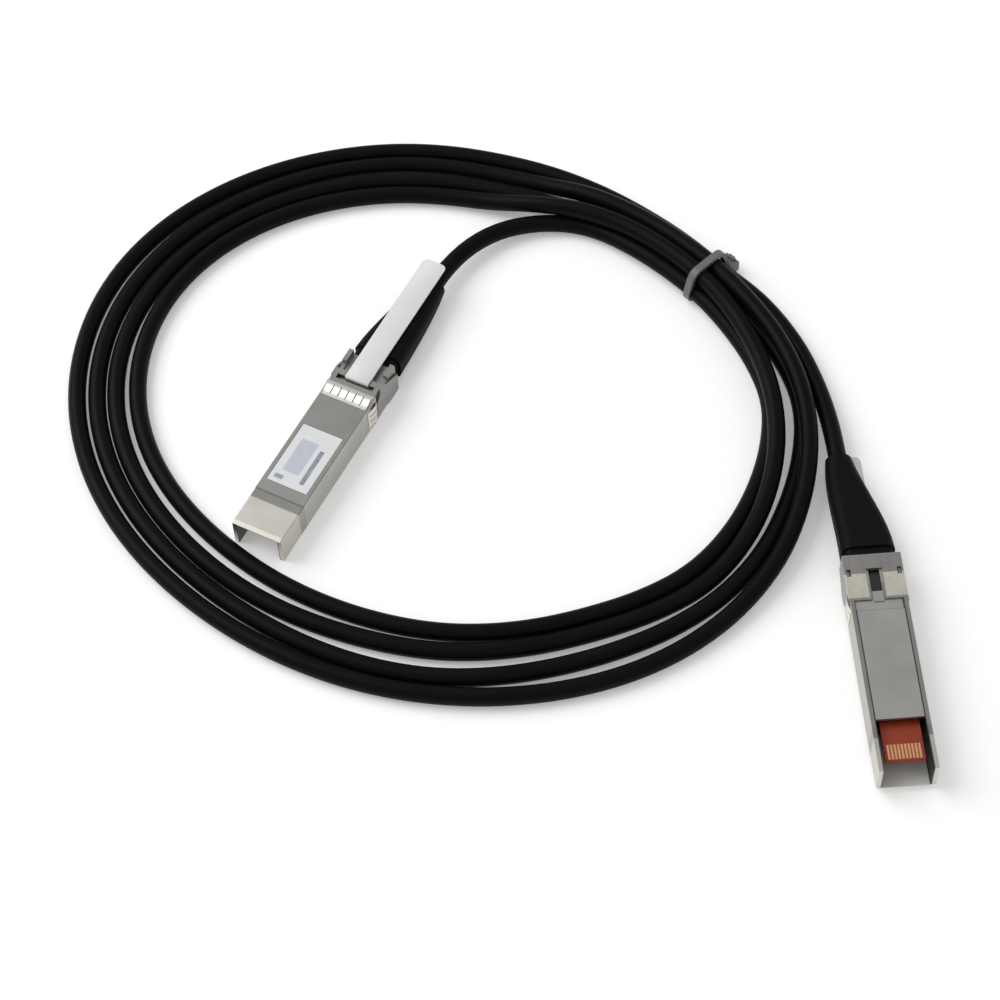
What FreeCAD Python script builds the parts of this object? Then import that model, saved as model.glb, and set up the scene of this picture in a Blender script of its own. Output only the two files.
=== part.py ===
import FreeCAD, Part
import math
import os
import re
import Sketcher

# Direct attach copper cable: two pluggable metal connectors with pull tabs, joined by one round
# twinaxial cable that is wound in turns and held by a small cable tie. Millimetres, +Z up, the
# resting surface at Z = 0 and the origin under the middle of the two connectors.
#
# A connector is modelled in its own frame: the tip of the nose at Y = 0, +Y towards the cable,
# X across, the bottom plate at Z = 0 and the label side up.

SIZES = {
    # housing of a connector
    "plug_length": 58.0,
    "nose_width": 13.6,
    "nose_height": 8.5,
    "rear_height": 9.1,
    "top_wall": 1.0,
    "side_wall": 1.15,
    "floor_wall": 1.2,
    "shell_gap": 0.1,
    "nose_drop": 0.25,
    "nose_reach": 11.3,
    "lead_in": 1.0,
    "window_length": 13.4,
    "ramp_setback": 13.4,
    "ramp_length": 2.6,
    "block_length": 10.5,
    "cable_height": 4.4,
    "label_start": 14.5,
    "label_length": 18.5,
    "label_width": 11.2,
    "label_recess": 0.15,
    "label_thickness": 0.12,
    "pocket_length": 9.5,
    "pocket_width": 10.4,
    "pocket_floor": 7.5,
    "edge_round": 0.35,
    # latch boss on the bottom
    "boss_setback": 13.0,
    "boss_size": 2.6,
    "boss_height": 0.55,
    "well_depth": 0.8,
    # circuit card and what is on it
    "card_width": 9.2,
    "card_thickness": 1.0,
    "card_setback": 3.6,
    "card_length": 26.4,
    "card_height": 2.25,
    "card_bevel": 0.25,
    "rail_width": 1.0,
    "rail_setback": 0.6,
    "finger_count": 10,
    "finger_pitch": 0.8,
    "finger_width": 0.52,
    "finger_length": 3.8,
    "finger_setback": 0.5,
    "finger_thickness": 0.05,
    "chip_length": 3.0,
    "chip_width": 4.4,
    "chip_height": 0.9,
    "chip_setback": 14.4,
    "leg_reach": 0.45,
    "leg_setback": 0.3,
    "leg_height": 0.25,
    "capacitor_length": 1.0,
    "capacitor_width": 0.5,
    "capacitor_height": 0.5,
    "capacitor_pitch": 1.6,
    "capacitor_setback": 9.4,
    "capacitor_count": 4,
    # cable and its ends
    "cable_diameter": 4.5,
    "pair_diameter": 1.4,
    "pair_pitch": 2.4,
    "pair_overlap": 5.5,
    "ferrule_wall": 0.3,
    "ferrule_length": 7.3,
    "crimp_gap": 0.05,
    # release slider, its springs and the pull tab
    "slider_length": 12.5,
    "slider_sheet": 0.5,
    "tine_lift": 0.2,
    "tine_length": 2.25,
    "slider_overhang": 0.2,
    "slider_travel": 2.2,
    "arm_length": 10.5,
    "arm_gap": 0.1,
    "stem_width": 2.9,
    "stem_length": 4.5,
    "cap_width": 3.8,
    "cap_length": 4.0,
    "notch_length": 2.0,
    "notch_width": 1.0,
    "bridge_setback": 7.8,
    "bridge_length": 1.6,
    "bridge_height": 8.1,
    "lug_length": 0.65,
    "run_gap": 0.15,
    "spring_diameter": 1.5,
    "spring_wire": 0.26,
    "spring_turns": 5.0,
    "spring_height": 6.0,
    "spring_reach": 6.0,
    "tab_width": 6.5,
    "tab_sheet": 0.3,
    "tab_gap": 0.15,
    "tab_length": 42.0,
    "tab_fold": 3.6,
    # strain relief boot
    "boot_length": 30.2,
    "boot_width": 13.0,
    "boot_depth": 8.0,
    "boot_tip": 6.4,
    "boot_round": 2.8,
    "neck_length": 2.6,
    "neck_width": 11.4,
    "neck_depth": 6.6,
    "neck_round": 1.65,
    "lean_a": 1.2,
    "lean_b": 3.1,
    # where the connectors lie
    "plug_a_x": -73.1,
    "plug_a_y": -1.05,
    "plug_a_angle": -31.0,
    "plug_b_x": 71.9,
    "plug_b_y": -78.35,
    # coil of cable
    "coil_outer_x": -27.3,
    "coil_outer_y": 37.05,
    "coil_outer_major": 97.85,
    "coil_outer_minor": 83.45,
    "coil_inner_x": -25.4,
    "coil_inner_y": 37.45,
    "coil_inner_major": 78.55,
    "coil_inner_minor": 64.65,
    "coil_angle": -30.8,
    "coil_high": 9.6,
    "coil_low": 4.8,
    "groove_gap": 0.1,
    "bay_gap": 0.7,
    "bay_depth": 12.0,
    # cable tie
    "tie_x": 43.5,
    "tie_y": 70.9,
    "tie_angle": 40.0,
    "tie_half_width": 7.7,
    "tie_top_half": 4.7,
    "tie_height": 9.5,
    "strap_width": 1.9,
    "strap_sheet": 1.0,
    "tie_round": 2.2,
    "head_width": 4.4,
    "head_depth": 2.4,
    "head_height": 3.0,
    "stub_length": 0.9,
}

V = FreeCAD.Vector
doc = FreeCAD.newDocument("direct_attach_cable")
sheet = doc.addObject("Spreadsheet::Sheet", "Sizes")
for number, (alias, value) in enumerate(SIZES.items(), start=1):
    sheet.set(f"A{number}", alias)
    sheet.set(f"B{number}", str(value))
    sheet.setAlias(f"B{number}", alias)
doc.recompute()


def size(alias):
    """The value of one driving dimension."""
    return float(getattr(sheet, alias))


def formula(text):
    """An expression on the sheet's aliases, written without the sheet's name."""
    return re.sub(r"[a-z_]{4,}", lambda word: f"Sizes.{word.group()}", str(text))


def number(text):
    """The value that such an expression has now."""
    return float(sheet.evalExpression(formula(text)))


# Places along a connector, from its tip.
RAMP = "(plug_length - ramp_setback)"
BOSS = "(plug_length - boss_setback)"
SLIDER = "(plug_length - slider_length)"
BRIDGE = "(plug_length - bridge_setback)"
FERRULE = "(plug_length - ferrule_length)"
RAIL = "(window_length + rail_setback)"
CARD_END = "(card_setback + card_length)"
CARD_TOP = "(card_height + card_thickness)"

# How far a cutting tool runs past the part it cuts.
PAST = 1


# ---------------------------------------------------------------- building blocks

def block(label, across, along, up):
    """A box between pairs of expressions for its low and high sides."""
    box = doc.addObject("Part::Box", label)
    for side, axis, (low, high) in (("Length", "x", across), ("Width", "y", along), ("Height", "z", up)):
        box.setExpression(side, formula(f"({high}) - ({low})"))
        box.setExpression(f"Placement.Base.{axis}", formula(low))
    return box


def rod(label, radius, start, end, across, up):
    """A cylinder along Y, between two expressions for its ends."""
    cylinder = doc.addObject("Part::Cylinder", label)
    cylinder.setExpression("Radius", formula(radius))
    cylinder.setExpression("Height", formula(f"({end}) - ({start})"))
    cylinder.Placement.Rotation = FreeCAD.Rotation(V(1, 0, 0), -90)
    for axis, place in (("x", across), ("y", start), ("z", up)):
        cylinder.setExpression(f"Placement.Base.{axis}", formula(place))
    return cylinder


def group(label, parts):
    """Separate solids that form one sub-part."""
    compound = doc.addObject("Part::Compound", label)
    compound.Links = parts
    return compound


def cut(label, base, tool):
    """The base without the tool."""
    result = doc.addObject("Part::Cut", label)
    result.Base = base
    result.Tool = tool
    return result


def fuse(label, parts):
    """Several solids as one."""
    result = doc.addObject("Part::MultiFuse", label)
    result.Shapes = parts
    return result


def rectangle(left, right, low, high):
    """Corner expressions of a rectangle."""
    return [(left, low), (right, low), (right, high), (left, high)]


def outline(body, name, role, loops, level="0"):
    """A sketch of closed outlines on one of the body's own planes, each corner bound to the sheet."""
    sketch = body.newObject("Sketcher::SketchObject", name)
    plane = [feature for feature in body.Origin.OriginFeatures if feature.Role == role][0]
    sketch.AttachmentSupport = [(plane, "")]
    sketch.MapMode = "FlatFace"
    sketch.setExpression("AttachmentOffset.Base.z", formula(level))
    for loop in loops:
        first = sketch.GeometryCount
        corners = [V(number(across), number(up), 0) for across, up in loop]
        for index, corner in enumerate(corners):
            sketch.addGeometry(Part.LineSegment(corner, corners[(index + 1) % len(corners)]), False)
        for index, (across, up) in enumerate(loop):
            line = first + index
            sketch.addConstraint(
                Sketcher.Constraint("Coincident", line, 2, first + (index + 1) % len(loop), 1))
            for kind, place in (("DistanceX", across), ("DistanceY", up)):
                pin = sketch.addConstraint(Sketcher.Constraint(kind, -1, 1, line, 1, number(place)))
                sketch.setExpression(f"Constraints[{pin}]", formula(place))
    return sketch


def circle(body, name, role, radius, up, level="0"):
    """A sketch of one circle on the body's middle line, its centre at a height."""
    sketch = body.newObject("Sketcher::SketchObject", name)
    plane = [feature for feature in body.Origin.OriginFeatures if feature.Role == role][0]
    sketch.AttachmentSupport = [(plane, "")]
    sketch.MapMode = "FlatFace"
    sketch.setExpression("AttachmentOffset.Base.z", formula(level))
    sketch.addGeometry(Part.Circle(V(0, number(up), 0), V(0, 0, 1), number(radius)), False)
    sketch.addConstraint(Sketcher.Constraint("PointOnObject", 0, 3, -2))
    for kind, ends, place in (("DistanceY", (-1, 1, 0, 3), up), ("Radius", (0,), radius)):
        pin = sketch.addConstraint(Sketcher.Constraint(kind, *ends, number(place)))
        sketch.setExpression(f"Constraints[{pin}]", formula(place))
    return sketch


def feature(body, kind, sketch, length, both_ways=True, backwards=False):
    """A Pad or Pocket of a sketch, as a rule half its length to each side of the sketch."""
    step = body.newObject(f"PartDesign::{kind}", f"{sketch.Label}_{kind.lower()}")
    step.Profile = sketch
    step.SideType = "Symmetric" if both_ways else "One side"
    step.Reversed = backwards
    step.setExpression("Length", formula(length))
    sketch.Visibility = False
    return step


def pad(body, sketch, length, **how):
    return feature(body, "Pad", sketch, length, **how)


def pocket(body, sketch, length, **how):
    return feature(body, "Pocket", sketch, length, **how)


def fillet(body, name, edges, radius):
    """Rounds numbered edges of the body's last feature."""
    base = body.Tip
    step = body.newObject("PartDesign::Fillet", name)
    step.Base = (base, [f"Edge{index}" for index in edges])
    step.setExpression("Radius", formula(radius))
    return step


def part_body(label):
    """An empty PartDesign body."""
    return doc.addObject("PartDesign::Body", label)


def placed(label, part, placement):
    """A part moved as a whole, with its own bound place kept inside."""
    holder = group(label, [part])
    holder.Placement = placement
    return holder


nodes = []


def seat(piece, label, placement):
    """Names a finished sub-part, puts it in its place and lists it for export."""
    piece.Label = label
    piece.Placement = placement.multiply(piece.Placement)
    nodes.append(piece)
    return piece


# ---------------------------------------------------------------- housing

def top_shell():
    """Label-side half: top wall, side skirts down to the bottom, and the solid block at the rear."""
    shell = part_body("top_shell")
    width = "nose_width"
    inner = "nose_width - 2 * side_wall"
    skirt = "nose_height - nose_drop - lead_in / 2"
    side = [
        ("0", "0"),
        (f"{SLIDER} - arm_gap", "0"),
        (f"{SLIDER} - arm_gap", "slider_sheet + arm_gap"),
        ("plug_length", "slider_sheet + arm_gap"),
        ("plug_length", "rear_height"),
        (f"{RAMP} + ramp_length", "rear_height"),
        (RAMP, "nose_height"),
        ("nose_reach", "nose_height"),
        ("nose_reach - nose_drop", "nose_height - nose_drop"),
        ("lead_in", "nose_height - nose_drop"),
        ("0", skirt),
    ]
    pad(shell, outline(shell, "side_view", "YZ_Plane", [side]), width)
    doc.recompute()
    rims = [index for index, edge in enumerate(shell.Shape.Edges, start=1)
            if edge.Vertexes[0].X == edge.Vertexes[1].X and edge.CenterOfMass.z > number(skirt)]
    fillet(shell, "top_edges", rims, "edge_round")
    hollow = [
        (f"-{PAST}", f"-{PAST}"),
        (f"plug_length + {PAST}", f"-{PAST}"),
        (f"plug_length + {PAST}", "cable_height"),
        ("plug_length - block_length", "cable_height"),
        ("plug_length - block_length", "nose_height - top_wall"),
        (f"-{PAST}", "nose_height - top_wall"),
    ]
    pocket(shell, outline(shell, "hollow", "YZ_Plane", [hollow]), inner)
    saddle = "cable_diameter / 2 + crimp_gap + ferrule_wall + crimp_gap"
    pocket(shell, circle(shell, "saddle", "XZ_Plane", saddle, "cable_height"), "3 * plug_length")
    rear = rectangle("plug_length - pocket_length", f"plug_length + {PAST}",
                     "pocket_floor", f"rear_height + {PAST}")
    pocket(shell, outline(shell, "rear_pocket", "YZ_Plane", [rear]), "pocket_width")
    notch = rectangle(f"{BRIDGE} - run_gap", f"{BRIDGE} + bridge_length + slider_travel + run_gap",
                      "bridge_height - run_gap", f"rear_height + {PAST}")
    pocket(shell, outline(shell, "bridge_notch", "YZ_Plane", [notch]), "2 * nose_width")
    flank = "nose_width / 2 + slider_overhang - slider_sheet - arm_gap"
    recess = "plug_length - arm_length - run_gap"
    flanks = [
        rectangle(flank, "nose_width", recess, f"plug_length + {PAST}"),
        rectangle("-nose_width", f"-({flank})", recess, f"plug_length + {PAST}"),
    ]
    pocket(shell, outline(shell, "arm_recess", "XY_Plane", flanks), "4 * rear_height")
    wall = f"{flank} - spring_diameter - 2 * run_gap"
    start = f"{BRIDGE} - run_gap"
    end = f"{BRIDGE} + lug_length + spring_reach + run_gap"
    pockets = [
        rectangle(wall, "nose_width", start, end),
        rectangle("-nose_width", f"-({wall})", start, end),
    ]
    roof = "spring_height + spring_diameter / 2 + run_gap"
    pocket(shell, outline(shell, "spring_pocket", "XY_Plane", pockets, roof),
           "spring_diameter + 2 * run_gap", both_ways=False)
    label = [rectangle("-label_width / 2", "label_width / 2", "label_start", "label_start + label_length")]
    pocket(shell, outline(shell, "label_recess", "XY_Plane", label, "nose_height"), "label_recess",
           both_ways=False)
    return shell


def bottom_shell():
    """Inset bottom plate, open under the card's contacts, with the latch boss and the lower saddle."""
    shell = part_body("bottom_shell")
    width = "nose_width - 2 * side_wall - 2 * shell_gap"
    step = "slider_sheet + arm_gap"
    side = [
        ("window_length", "0"),
        (f"{BOSS} - boss_size", "0"),
        (f"{BOSS} - boss_size + slider_sheet", step),
        ("plug_length", step),
        ("plug_length", "cable_height - shell_gap"),
        ("plug_length - block_length + shell_gap", "cable_height - shell_gap"),
        ("plug_length - block_length + shell_gap", "floor_wall"),
        ("window_length", "floor_wall"),
    ]
    pad(shell, outline(shell, "side_view", "YZ_Plane", [side]), width)
    rail = rectangle(RAIL, CARD_END, "floor_wall / 2", "card_height")
    pad(shell, outline(shell, "card_rest", "YZ_Plane", [rail]), "card_width")
    between = rectangle(f"{RAIL} - {PAST}", f"{CARD_END} + {PAST}", "floor_wall", f"card_height + {PAST}")
    pocket(shell, outline(shell, "rail_gap", "YZ_Plane", [between]), "card_width - 2 * rail_width")
    boss = [
        (BOSS, step),
        (BOSS, "slider_sheet + arm_gap - boss_height / 2"),
        (f"{BOSS} + boss_size / 2", "slider_sheet + arm_gap - boss_height"),
        (f"{BOSS} + boss_size", "slider_sheet + arm_gap - boss_height"),
        (f"{BOSS} + boss_size", step),
    ]
    pad(shell, outline(shell, "latch_boss", "YZ_Plane", [boss]), "boss_size")
    well = rectangle(f"{BOSS} + boss_size + arm_gap", f"{SLIDER} + stem_length + cap_length - arm_gap",
                     f"-{PAST}", f"{step} + well_depth")
    pocket(shell, outline(shell, "latch_well", "YZ_Plane", [well]), "boss_size")
    saddle = "cable_diameter / 2 + crimp_gap + ferrule_wall + crimp_gap"
    pocket(shell, circle(shell, "saddle", "XZ_Plane", saddle, "cable_height"), "3 * plug_length")
    return shell


def blank_label():
    """Label that fills its recess, left blank."""
    label = part_body("blank_label")
    field = rectangle("-label_width / 2 + arm_gap", "label_width / 2 - arm_gap",
                      "label_start + arm_gap", "label_start + label_length - arm_gap")
    pad(label, outline(label, "field", "XY_Plane", [field], "nose_height - label_recess"),
        "label_thickness", both_ways=False)
    return label


# ---------------------------------------------------------------- circuit card

def circuit_card():
    """Edge card with a bevelled front edge."""
    card = part_body("circuit_card")
    side = [
        ("card_setback + card_bevel", "card_height"),
        (CARD_END, "card_height"),
        (CARD_END, CARD_TOP),
        ("card_setback + card_bevel", CARD_TOP),
        ("card_setback", f"{CARD_TOP} - card_bevel"),
        ("card_setback", "card_height + card_bevel"),
    ]
    pad(card, outline(card, "side_view", "YZ_Plane", [side]), "card_width")
    return card


def card_contacts():
    """Rows of gold fingers on both faces of the card."""
    fingers = []
    count = int(size("finger_count"))
    for index in range(count):
        middle = f"({index} - (finger_count - 1) / 2) * finger_pitch"
        across = (f"{middle} - finger_width / 2", f"{middle} + finger_width / 2")
        along = ("card_setback + finger_setback", "card_setback + finger_setback + finger_length")
        for name, up in (("upper", (CARD_TOP, f"{CARD_TOP} + finger_thickness")),
                         ("lower", ("card_height - finger_thickness", "card_height"))):
            fingers.append(block(f"{name}_finger", across, along, up))
    return group("card_contacts", fingers)


def eeprom_chip():
    """Memory chip with its two rows of legs as one low package on the card."""
    start = "card_setback + chip_setback"
    case = block("chip_case", ("-chip_width / 2", "chip_width / 2"), (start, f"{start} + chip_length"),
                 (f"{CARD_TOP} + leg_height / 2", f"{CARD_TOP} + chip_height"))
    legs = block("chip_legs", ("-chip_width / 2 - leg_reach", "chip_width / 2 + leg_reach"),
                 (f"{start} + leg_setback", f"{start} + chip_length - leg_setback"),
                 (CARD_TOP, f"{CARD_TOP} + leg_height"))
    return fuse("eeprom_chip", [case, legs])


def coupling_capacitors():
    """Small chip capacitors in the signal traces behind the fingers."""
    start = "card_setback + capacitor_setback"
    chips = []
    for index in range(int(size("capacitor_count"))):
        middle = f"({index} - (capacitor_count - 1) / 2) * capacitor_pitch"
        chips.append(block("capacitor",
                           (f"{middle} - capacitor_width / 2", f"{middle} + capacitor_width / 2"),
                           (start, f"{start} + capacitor_length"),
                           (CARD_TOP, f"{CARD_TOP} + capacitor_height")))
    return group("coupling_capacitors", chips)


# ---------------------------------------------------------------- cable end

def twinax_wires():
    """Two shielded pairs from the card to the cable's end in the ferrule."""
    return group("twinax_wires", [
        rod("pair", "pair_diameter / 2", f"{CARD_END} - pair_overlap", FERRULE, f"{side} * pair_pitch / 2",
            f"{CARD_TOP} + pair_diameter / 2")
        for side in (-1, 1)])


def crimp_ferrule():
    """Ring crimped on the cable's end, held between the two saddles."""
    inner = "cable_diameter / 2 + crimp_gap"
    outer = rod("ferrule_outside", f"{inner} + ferrule_wall", FERRULE,
                "plug_length - crimp_gap", "0", "cable_height")
    bore = rod("ferrule_bore", inner, f"{FERRULE} - {PAST}", f"plug_length + {PAST}", "0", "cable_height")
    return cut("crimp_ferrule", outer, bore)


def rounded_section(place, width, depth, radius, shift):
    """A rounded rectangle across the cable's axis, shifted sideways."""
    side = Part.makePlane(width, depth, V(shift + width / 2, place, size("cable_height") - depth / 2),
                          V(0, 1, 0), V(-1, 0, 0))
    solid = side.extrude(V(0, 1, 0))
    along = [edge for edge in solid.Edges if abs(edge.tangentAt(edge.FirstParameter).y) > 0.9]
    rounded = solid.makeFillet(radius, along)
    front = min(rounded.Faces, key=lambda face: face.CenterOfMass.y)
    return front.OuterWire


BOOT_STATIONS = 9
BOOT_TAPER = 1.5


def strain_relief_boot(lean):
    """Moulded boot: a neck behind the housing, then a body that tapers and leans to the cable."""
    length = size("boot_length") - size("neck_length")
    start = size("plug_length") + size("neck_length")
    sections = []
    for index in range(BOOT_STATIONS):
        part = index / (BOOT_STATIONS - 1)
        shrink = part ** BOOT_TAPER
        width = size("boot_width") - (size("boot_width") - size("boot_tip")) * shrink
        depth = size("boot_depth") - (size("boot_depth") - size("boot_tip")) * shrink
        radius = size("boot_round")
        shift = lean * part * part * (3 - 2 * part)
        sections.append(rounded_section(start + length * part, width, depth, radius, shift))
    body = Part.makeLoft(sections, True, True)
    neck_start = size("plug_length")
    neck = rounded_section(neck_start, size("neck_width"), size("neck_depth"), size("neck_round"), 0)
    neck = Part.Face(neck).extrude(V(0, size("neck_length"), 0))
    stub = Part.makeCylinder(size("cable_diameter") / 2, size("ferrule_length"),
                             V(0, neck_start - size("ferrule_length"), size("cable_height")), V(0, 1, 0))
    boot = doc.addObject("Part::Feature", "strain_relief_boot")
    boot.Shape = body.fuse([neck, stub]).removeSplitter()
    return boot


# ---------------------------------------------------------------- release slider, springs, tab

def release_slider():
    """Sheet-metal slider: bottom plate with wedge tines, side arms, bridge and spring lugs."""
    slider = part_body("release_slider")
    half = "nose_width / 2 + slider_overhang"
    inside = f"{half} - slider_sheet"
    plate = [
        (SLIDER, "slider_sheet"),
        (SLIDER, "tine_lift"),
        (f"{SLIDER} + tine_length", "0"),
        ("plug_length", "0"),
        ("plug_length", "slider_sheet"),
    ]
    pad(slider, outline(slider, "bottom_plate", "YZ_Plane", [plate]), f"2 * ({half})")
    arm_front = "plug_length - arm_length"
    top = "bridge_height + slider_sheet"
    arm = [
        (arm_front, "0"),
        ("plug_length", "0"),
        ("plug_length", "spring_height"),
        (f"{BRIDGE} + bridge_length + slider_sheet", top),
        (f"{BRIDGE} - slider_sheet", top),
        (arm_front, "spring_height"),
    ]
    pad(slider, outline(slider, "side_arms", "YZ_Plane", [arm]), f"2 * ({half})")
    hollow = rectangle(f"{arm_front} - {PAST}", f"plug_length + {PAST}", "slider_sheet", "bridge_height")
    pocket(slider, outline(slider, "hollow", "YZ_Plane", [hollow]), f"2 * ({inside})")
    low = "bridge_height - arm_gap"
    high = f"rear_height + {PAST}"
    over = [
        rectangle(f"{arm_front} - {PAST}", BRIDGE, low, high),
        rectangle(f"{BRIDGE} + bridge_length", f"plug_length + {PAST}", low, high),
    ]
    pocket(slider, outline(slider, "beside_bridge", "YZ_Plane", over), f"2 * ({inside})")
    tee = [
        ("-stem_width / 2", f"{SLIDER} - {PAST}"),
        ("stem_width / 2", f"{SLIDER} - {PAST}"),
        ("stem_width / 2", f"{SLIDER} + stem_length"),
        ("cap_width / 2", f"{SLIDER} + stem_length"),
        ("cap_width / 2", f"{SLIDER} + stem_length + cap_length"),
        ("-cap_width / 2", f"{SLIDER} + stem_length + cap_length"),
        ("-cap_width / 2", f"{SLIDER} + stem_length"),
        ("-stem_width / 2", f"{SLIDER} + stem_length"),
    ]
    pocket(slider, outline(slider, "boss_slot", "XY_Plane", [tee]), "4 * slider_sheet")
    back = f"{SLIDER} + stem_length + cap_length"
    notches = [
        rectangle(f"{inside} - notch_width", inside, f"{back} - notch_length", back),
        rectangle(f"-({inside})", f"-({inside}) + notch_width", f"{back} - notch_length", back),
    ]
    pocket(slider, outline(slider, "relief_notches", "XY_Plane", notches), "4 * slider_sheet")
    lug_low = "spring_height - spring_diameter / 2"
    reach = "spring_diameter + run_gap"
    lugs = [
        rectangle(f"{inside} - ({reach})", inside, BRIDGE, f"{BRIDGE} + lug_length"),
        rectangle(f"-({inside})", f"-({inside}) + {reach}", BRIDGE, f"{BRIDGE} + lug_length"),
    ]
    pad(slider, outline(slider, "spring_lugs", "XY_Plane", lugs, lug_low), "spring_diameter",
        both_ways=False)
    return slider


SPRING_CORNERS = 6


def return_springs():
    """Two small compression springs that push the slider's lugs towards the nose."""
    wire = size("spring_wire")
    coil = (size("spring_diameter") - wire) / 2
    start = number(BRIDGE) + size("lug_length") + wire / 2
    length = size("spring_reach") - wire
    flank = size("nose_width") / 2 + size("slider_overhang") - size("slider_sheet") - size("arm_gap")
    middle = flank - size("spring_diameter") / 2 - size("run_gap")
    steps = int(SPRING_CORNERS * size("spring_turns"))
    springs = []
    for side in (-1, 1):
        rings = []
        for step in range(steps + 1):
            turn = 2 * math.pi * step / SPRING_CORNERS
            out = V(math.cos(turn), 0, math.sin(turn))
            centre = V(side * middle, start + length * step / steps, size("spring_height")) + out * coil
            corners = [centre + out * (wire / 2 * a) + V(0, wire / 2 * b, 0)
                       for a, b in ((1, 0), (0, 1), (-1, 0), (0, -1))]
            rings.append(Part.makePolygon(corners + corners[:1]))
        springs.append(Part.makeLoft(rings, True, True))
    pair = doc.addObject("Part::Feature", "return_springs")
    pair.Shape = Part.makeCompound(springs)
    return pair


def pull_tab():
    """Strap folded round the slider's bridge, its short end welded to the long one."""
    tab = part_body("pull_tab")
    bend = f"{BRIDGE} - tab_gap"
    top = "bridge_height + slider_sheet + tab_gap"
    low = "bridge_height - tab_gap"
    after = f"{BRIDGE} + bridge_length + tab_gap"
    end = f"{BRIDGE} + tab_length"
    fold = [
        (f"{bend} - tab_sheet", f"{low} - tab_sheet / 2"),
        (bend, f"{low} - tab_sheet"),
        (f"{bend} + tab_fold", f"{low} - tab_sheet"),
        (f"{bend} + tab_fold + 2 * tab_sheet", top),
        (end, top),
        (end, f"{top} + tab_sheet"),
        (bend, f"{top} + tab_sheet"),
        (f"{bend} - tab_sheet", f"{top} + tab_sheet / 2"),
    ]
    pad(tab, outline(tab, "strap", "YZ_Plane", [fold]), "tab_width")
    eye = [(bend, low), (after, low), (f"{after} + tab_sheet", top), (bend, top)]
    pocket(tab, outline(tab, "eye", "YZ_Plane", [eye]), "2 * tab_width")
    doc.recompute()
    corners = [index for index, edge in enumerate(tab.Shape.Edges, start=1)
               if abs(edge.CenterOfMass.y - number(end)) < size("arm_gap")
               and edge.Length < 2 * size("tab_sheet")]
    fillet(tab, "rounded_end", corners, "tab_width / 2 - arm_gap")
    return tab


# ---------------------------------------------------------------- cable

TAIL_A = [
    (-26.64, 73.94, 4.4),
    (-21.7, 82.17, 4.4),
    (-10.2, 91.6, 3.6),
    (3.0, 94.6, 2.6),
    (15.8, 91.9, 2.4),
    (28.0, 81.5, 3.4),
    (37.4, 71.0, 3.4),
]
TAIL_B = [
    (49.6, 70.8, 3.4),
    (56.9, 62.0, 3.4),
    (64.2, 47.6, 2.7),
    (67.6, 32.4, 3.4),
    (68.8, 18.5, 4.7),
    (68.8, 9.85, 4.7),
]


TAIL_STEPS = 16


def cable_tail(label, points):
    """The single cable between a boot and the coil: round sections along one smooth curve."""
    curve = Part.BSplineCurve()
    curve.buildFromPoles([V(*point) for point in points], False, 2)
    rings = []
    for place in curve.discretize(Number=TAIL_STEPS + 1):
        along = curve.tangent(curve.parameter(place))[0]
        across = along.cross(V(0, 0, 1)).normalize()
        ring = Part.Circle(V(), V(0, 0, 1), size("cable_diameter") / 2).toShape()
        turn = FreeCAD.Rotation(across, along.cross(across), along, "ZXY")
        ring.Placement = FreeCAD.Placement(place, turn)
        rings.append(Part.Wire([ring]))
    tail = doc.addObject("Part::Feature", label)
    tail.Shape = Part.makeLoft(rings, True, True)
    tightest = 1 / max(curve.curvature(place / 100) for place in range(101))
    print(label, "length", round(curve.length(), 1), "tightest radius", round(tightest, 1))
    return tail


def ellipse_plate(name, side, height):
    """An elliptical cylinder that follows one side of the coil."""
    curve = doc.addObject("Part::Ellipse", f"{name}_curve")
    curve.setExpression("MajorRadius", formula(f"coil_{side}_major"))
    curve.setExpression("MinorRadius", formula(f"coil_{side}_minor"))
    curve.setExpression("Placement.Base.x", formula(f"coil_{side}_x"))
    curve.setExpression("Placement.Base.y", formula(f"coil_{side}_y"))
    curve.Placement.Rotation = FreeCAD.Rotation(V(0, 0, 1), size("coil_angle"))
    plate = doc.addObject("Part::Extrusion", name)
    plate.Base = curve
    plate.DirMode = "Custom"
    plate.Dir = V(0, 0, 1)
    plate.Solid = True
    plate.setExpression("LengthFwd", formula(height))
    return plate


def tie_placement():
    """Across the bundle at the tie: X outwards, Y against the cable's run."""
    return FreeCAD.Placement(V(size("tie_x"), size("tie_y"), 0),
                             FreeCAD.Rotation(V(0, 0, 1), size("tie_angle")))


def tie_section(margin):
    """Outline of the bundle inside the strap, with a margin all round."""
    half = f"tie_half_width + {margin}"
    top = f"tie_top_half + {margin}"
    return [
        (f"-({half})", f"strap_sheet - ({margin})"),
        (half, f"strap_sheet - ({margin})"),
        (top, f"tie_height + {margin}"),
        (f"-({top})", f"tie_height + {margin}"),
    ]


def rounded_bundle(name, margin, length, radius):
    """A length of that outline with rounded corners, centred on the tie."""
    bundle = part_body(name)
    pad(bundle, outline(bundle, f"{name}_outline", "XZ_Plane", [tie_section(margin)]), length)
    doc.recompute()
    along = [index for index, edge in enumerate(bundle.Shape.Edges, start=1)
             if abs(edge.tangentAt(edge.FirstParameter).y) > 0.9]
    fillet(bundle, f"{name}_round", along, radius)
    bundle.Placement = tie_placement()
    return bundle


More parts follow.
